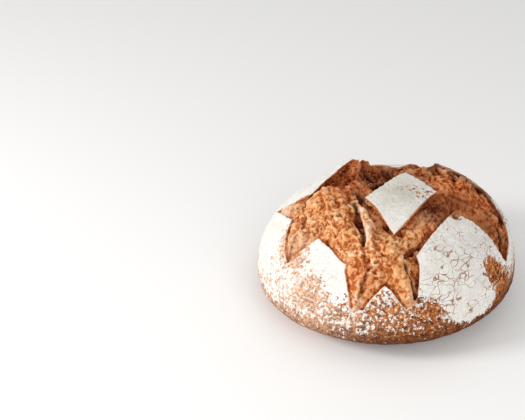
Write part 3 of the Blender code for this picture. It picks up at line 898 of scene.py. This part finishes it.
# The dried flour cracked in a net where the skin was stretched, and brown shows through
bend = node("TexNoise", where, 1000 / NET_BEND_MM, 1.5, out="Color")
bend = node("VectorMath", bend, (0.5, 0.5, 0.5), operation="SUBTRACT")
bend = node("VectorMath", bend, NET_BEND_REACH, operation="SCALE")
bent = node("VectorMath", where, bend, operation="ADD")
bent = node("VectorMath", bent, (0.9, 1.0, 1.9), operation="MULTIPLY")
net = node("TexVoronoi", bent, 1000 / NET_MM, feature="DISTANCE_TO_EDGE")
width = node("TexNoise", where, 1000 / BROKEN_NET_MM, 2.0, 0.6)
width = node("MapRange", width, 0.34, 0.64, 0.0, 0.054, **SMOOTH)
width = node("Math", width, share["crackle"], operation="MULTIPLY")
crack = node("Math", net, width, operation="LESS_THAN")
crack_tint = node("Math", crack, 0.85, operation="MULTIPLY")
skin_colour = node("Mix", crack_tint, skin_colour, colour("#A0643F"), **TINT)

# A lip keeps a clean edge: a pale painted highlight along it, dark where the crust there is burnt or
# painted shaded
sharp_lip = node("Math", 1.0, share["soft_lip"], operation="SUBTRACT")
edge = node("MapRange", share["lip_mm"], 1.4, 0.5, 0.0, 0.7, **SMOOTH)
edge = node("Math", edge, sharp_lip, operation="MULTIPLY")
rim_highlight_and_burn = node("Mix", share["burn_and_shade"], colour("#F1E2D2"), colour("#6A3820"), **TINT)
skin_colour = node("Mix", edge, skin_colour, rim_highlight_and_burn, **TINT)

# Torn crumb: wisps and streaks run along Y, as the dough was pulled, and each pattern swings about zero
along = node("VectorMath", where, (1.0, 0.5, 1.0), operation="MULTIPLY")
wisps = node("TexNoise", along, 1000 / WISP_MM, 3.0, 0.6)
along = node("VectorMath", where, (1.0, 0.6, 1.0), operation="MULTIPLY")
streaks = node("TexNoise", along, 1000 / STREAK_MM, 4.0, 0.7)
swings = []
for pattern, swing in ((grain, 4.0), (wisps, 4.6), (patches, 2.6), (streaks, 3.0)):
    centred = node("Math", pattern, 0.5, operation="SUBTRACT")
    swings.append(node("Math", centred, swing, operation="MULTIPLY"))
grain_swing, wisp_swing, patch_swing, streak_swing = swings
mottle = node("Math", grain_swing, wisp_swing, operation="ADD")
coarser = node("MapRange", share["rough"], 0.0, 1.0, 0.55, 1.0, **SMOOTH)
mottle = node("Math", mottle, coarser, operation="MULTIPLY")
mottle = node("Math", mottle, patch_swing, operation="ADD")
# Painted shade and highlight: how proud each place stands is added to the mottle, so hollows come out dark
# and ridges pale
relief = node("Math", share["proud_mm"], 1.25, operation="MULTIPLY")
relief = node("Math", relief, mottle, operation="ADD")

# Its mottle sets its colour, with painted shade darkening its crevices and painted highlights turning its
# ridges gold, and it is mauve brown just under a lip
torn_colour = colour("#6A2208")
for low, high, tone in ((-2.0, -0.5, "#B6622E"), (-0.5, 0.5, "#ECAA70"), (0.5, 1.8, "#F1DAC2")):
    amount = node("MapRange", relief, low, high, **SMOOTH)
    torn_colour = node("Mix", amount, torn_colour, colour(tone), **TINT)
wall = node("MapRange", share["lip_mm"], -3.4, -0.4, 0.0, 0.45, **SMOOTH)
wall = node("Math", wall, sharp_lip, operation="MULTIPLY")
torn_colour = node("Mix", wall, torn_colour, colour("#AE7052"), **TINT)
# Painted shade: cracks and clefts are darkened by how deep they sink
crease_shade = node("Math", share["crease_shade"], 0.85, operation="MULTIPLY")
torn_colour = node("Mix", crease_shade, torn_colour, colour("#2A1109"), **TINT)

# The oven toasted it and burnt its tops, painted shade darkens it in the channel under the ear and beside
# the square, and loose flour dusts it in streaks
torn_colour = node("Mix", share["toast"], torn_colour, colour("#F2AC78"), **SHADE)
torn_colour = node("Mix", share["burn_and_shade"], torn_colour, colour("#5E3020"), **SHADE)
dust = node("Math", share["film"], streak_swing, operation="ADD")
dust = node("MapRange", dust, 0.25, 1.05, 0.0, 0.80, **SMOOTH)
torn_colour = node("Mix", dust, torn_colour, colour("#F2CBA2"), **TINT)

# Skin meets crumb at the lip, softly where a lip melted away, and each has its own shine and relief
torn_look = node("MapRange", share["soft_lip"], 0.0, 1.0, 1.0, 0.60, **SMOOTH)
torn_look = node("Math", share["torn"], torn_look, operation="MULTIPLY")
crust_colour = node("Mix", torn_look, skin_colour, torn_colour, **TINT)
tree.links.new(crust_colour, shader.inputs["Base Color"])
shader.inputs["Metallic"].default_value = 0
shader.inputs["IOR"].default_value = 1.45
shader.inputs["Specular IOR Level"].default_value = 0.10
dullness = node("MapRange", cover, 0.0, 1.0, 0.72, 0.95, **SMOOTH)
dullness = node("MapRange", share["torn"], 0.0, 1.0, dullness, 0.62)
tree.links.new(dullness, shader.inputs["Roughness"])
coarse_bumps = node("Math", grain, 0.6, operation="MULTIPLY")
fine_bumps = node("Math", fine_grain, 0.4, operation="MULTIPLY")
bumps = node("Math", coarse_bumps, fine_bumps, operation="ADD")
bumps = node("Math", bumps, node("Math", crack, 0.25, operation="MULTIPLY"), operation="SUBTRACT")
strength = node("MapRange", share["torn"], 0.0, 1.0, 0.40, 1.0, **SMOOTH)
bump = node("Bump", strength, BUMP_HEIGHT, BUMP_FILTER, bumps)
tree.links.new(bump, shader.inputs["Normal"])

loaf.data.materials.clear()
loaf.data.materials.append(crust)
for mark in MARKS:
    bpy.data.materials.remove(mark)
loaf.data.polygons.foreach_set("material_index", [0] * len(loaf.data.polygons))
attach(loaf, "root")
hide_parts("loaf")


# A pale, seamless photographic floor under the loaf.
# It is matt white paper, which glows a little so that the ground stays nearly white.
bpy.ops.mesh.primitive_plane_add(size=8)
floor = bpy.context.active_object
floor.name = "studio_floor"
paper = bpy.data.materials.new("matt_white_paper")
paper.use_nodes = True
paper_shader = paper.node_tree.nodes["Principled BSDF"]
paper_shader.inputs["Base Color"].default_value = colour("#F4F3F1")
paper_shader.inputs["Roughness"].default_value = 0.9
paper_shader.inputs["Emission Color"].default_value = (1, 1, 1, 1)
paper_shader.inputs["Emission Strength"].default_value = 0.08
floor.data.materials.append(paper)


# Soft studio light: a strong soft box on the left, a wide and weaker one in front, and a pale room.
# Both boxes hang at about the height of the camera and face the loaf.
LOAF_MIDDLE = Vector((0, 0, 0.05))


def soft_box(name, place, size, watts):
    light = bpy.data.lights.new(name, "AREA")
    light.shape = "RECTANGLE"
    light.size = size
    light.size_y = size
    light.energy = watts
    obj = bpy.data.objects.new(name, light)
    bpy.context.scene.collection.objects.link(obj)
    obj.location = place
    obj.rotation_euler = (LOAF_MIDDLE - Vector(place)).to_track_quat("-Z", "Y").to_euler()


soft_box("key_soft_box", (-1.20, -0.45, 0.70), 0.45, 11.1)
soft_box("fill_soft_box", (0.45, -1.20, 0.75), 1.0, 6.3)
room = bpy.data.worlds.new("pale_room")
room.use_nodes = True
air = room.node_tree.nodes["Background"]
air.inputs["Color"].default_value = (1, 1, 1, 1)
air.inputs["Strength"].default_value = 0.55
bpy.context.scene.world = room
bpy.context.scene.view_settings.view_transform = "Standard"


# The camera, straight in front of the loaf and about 33 degrees above the table.
# It is turned a little past the loaf's left side, so that the loaf stands on the right of the picture.
LENS = 85
SENSOR_WIDTH = 36
CAMERA_PLACE = (0, -0.9351, 0.6423)
CAMERA_TURN = math.radians(-6.779)
CAMERA_TILT = math.radians(-31.216)
camera_data = bpy.data.cameras.new("camera")
camera_data.lens = LENS
camera_data.sensor_width = SENSOR_WIDTH
camera_data.clip_end = 20
camera = bpy.data.objects.new("camera", camera_data)
bpy.context.scene.collection.objects.link(camera)
camera.location = CAMERA_PLACE
level_way = Vector((math.sin(CAMERA_TURN), math.cos(CAMERA_TURN), 0))
ahead = level_way * math.cos(CAMERA_TILT) + Vector((0, 0, math.sin(CAMERA_TILT)))
camera.rotation_euler = ahead.to_track_quat("-Z", "Y").to_euler()
bpy.context.scene.camera = camera
